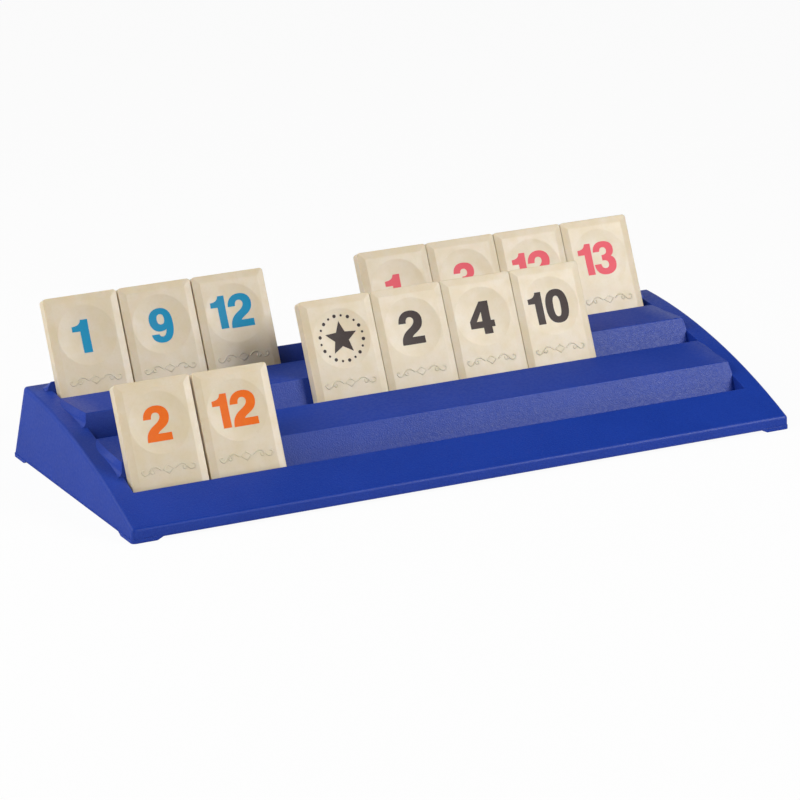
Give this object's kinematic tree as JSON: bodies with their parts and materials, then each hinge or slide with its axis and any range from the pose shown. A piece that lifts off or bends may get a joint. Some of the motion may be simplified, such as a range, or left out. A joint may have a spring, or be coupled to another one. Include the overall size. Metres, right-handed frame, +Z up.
{
  "type": "rummy tile rack with tiles",
  "caption": "Free-standing three-tier rack with crowned top and leaning slots, holding thick numbered rummy tiles on edge.",
  "frame": {"origin": "on the surface the rack stands on, under the middle of the rack's base", "axes": "+X along the rack to the right as a player sees it, +Y to its high back, +Z up"},
  "size_m": [0.2446, 0.1164, 0.0585],
  "materials": {
    "rack_plastic": "injection-moulded blue plastic with a fine spark-eroded grain",
    "tile_plastic": "cream moulded plastic, softly polished",
    "print_blue": "blue printed numeral",
    "print_orange": "orange printed numeral",
    "print_black": "black printed numeral and star",
    "print_red": "pink-red printed numeral"
  },
  "bodies": {
    "rack": {"rack": "rack_plastic"},
    "tile_blue_1": {"tile_blue_1": "tile_plastic"},
    "tile_blue_9": {"tile_blue_9": "tile_plastic"},
    "tile_blue_12": {"tile_blue_12": "tile_plastic"},
    "tile_red_1": {"tile_red_1": "tile_plastic"},
    "tile_red_3": {"tile_red_3": "tile_plastic"},
    "tile_red_12": {"tile_red_12": "tile_plastic"},
    "tile_red_13": {"tile_red_13": "tile_plastic"},
    "tile_joker": {"tile_joker": "tile_plastic"},
    "tile_black_2": {"tile_black_2": "tile_plastic"},
    "tile_black_4": {"tile_black_4": "tile_plastic"},
    "tile_black_10": {"tile_black_10": "tile_plastic"},
    "tile_orange_2": {"tile_orange_2": "tile_plastic"},
    "tile_orange_12": {"tile_orange_12": "tile_plastic"}
  },
  "joints": [
    {"name": "lift_tile_blue_1", "type": "slide", "parent": "rack", "child": "tile_blue_1", "axis": [0, 0.3875, 0.9219], "range_m": [0, 0.02]},
    {"name": "lift_tile_blue_9", "type": "slide", "parent": "rack", "child": "tile_blue_9", "axis": [0, 0.3875, 0.9219], "range_m": [0, 0.02]},
    {"name": "lift_tile_blue_12", "type": "slide", "parent": "rack", "child": "tile_blue_12", "axis": [0, 0.3875, 0.9219], "range_m": [0, 0.02]},
    {"name": "lift_tile_red_1", "type": "slide", "parent": "rack", "child": "tile_red_1", "axis": [0, 0.3875, 0.9219], "range_m": [0, 0.02]},
    {"name": "lift_tile_red_3", "type": "slide", "parent": "rack", "child": "tile_red_3", "axis": [0, 0.3875, 0.9219], "range_m": [0, 0.02]},
    {"name": "lift_tile_red_12", "type": "slide", "parent": "rack", "child": "tile_red_12", "axis": [0, 0.3875, 0.9219], "range_m": [0, 0.02]},
    {"name": "lift_tile_red_13", "type": "slide", "parent": "rack", "child": "tile_red_13", "axis": [0, 0.3875, 0.9219], "range_m": [0, 0.02]},
    {"name": "lift_tile_joker", "type": "slide", "parent": "rack", "child": "tile_joker", "axis": [0, 0.3875, 0.9219], "range_m": [0, 0.02]},
    {"name": "lift_tile_black_2", "type": "slide", "parent": "rack", "child": "tile_black_2", "axis": [0, 0.3875, 0.9219], "range_m": [0, 0.02]},
    {"name": "lift_tile_black_4", "type": "slide", "parent": "rack", "child": "tile_black_4", "axis": [0, 0.3875, 0.9219], "range_m": [0, 0.02]},
    {"name": "lift_tile_black_10", "type": "slide", "parent": "rack", "child": "tile_black_10", "axis": [0, 0.3875, 0.9219], "range_m": [0, 0.02]},
    {"name": "lift_tile_orange_2", "type": "slide", "parent": "rack", "child": "tile_orange_2", "axis": [0, 0.3875, 0.9219], "range_m": [0, 0.02]},
    {"name": "lift_tile_orange_12", "type": "slide", "parent": "rack", "child": "tile_orange_12", "axis": [0, 0.3875, 0.9219], "range_m": [0, 0.02]}
  ]
}
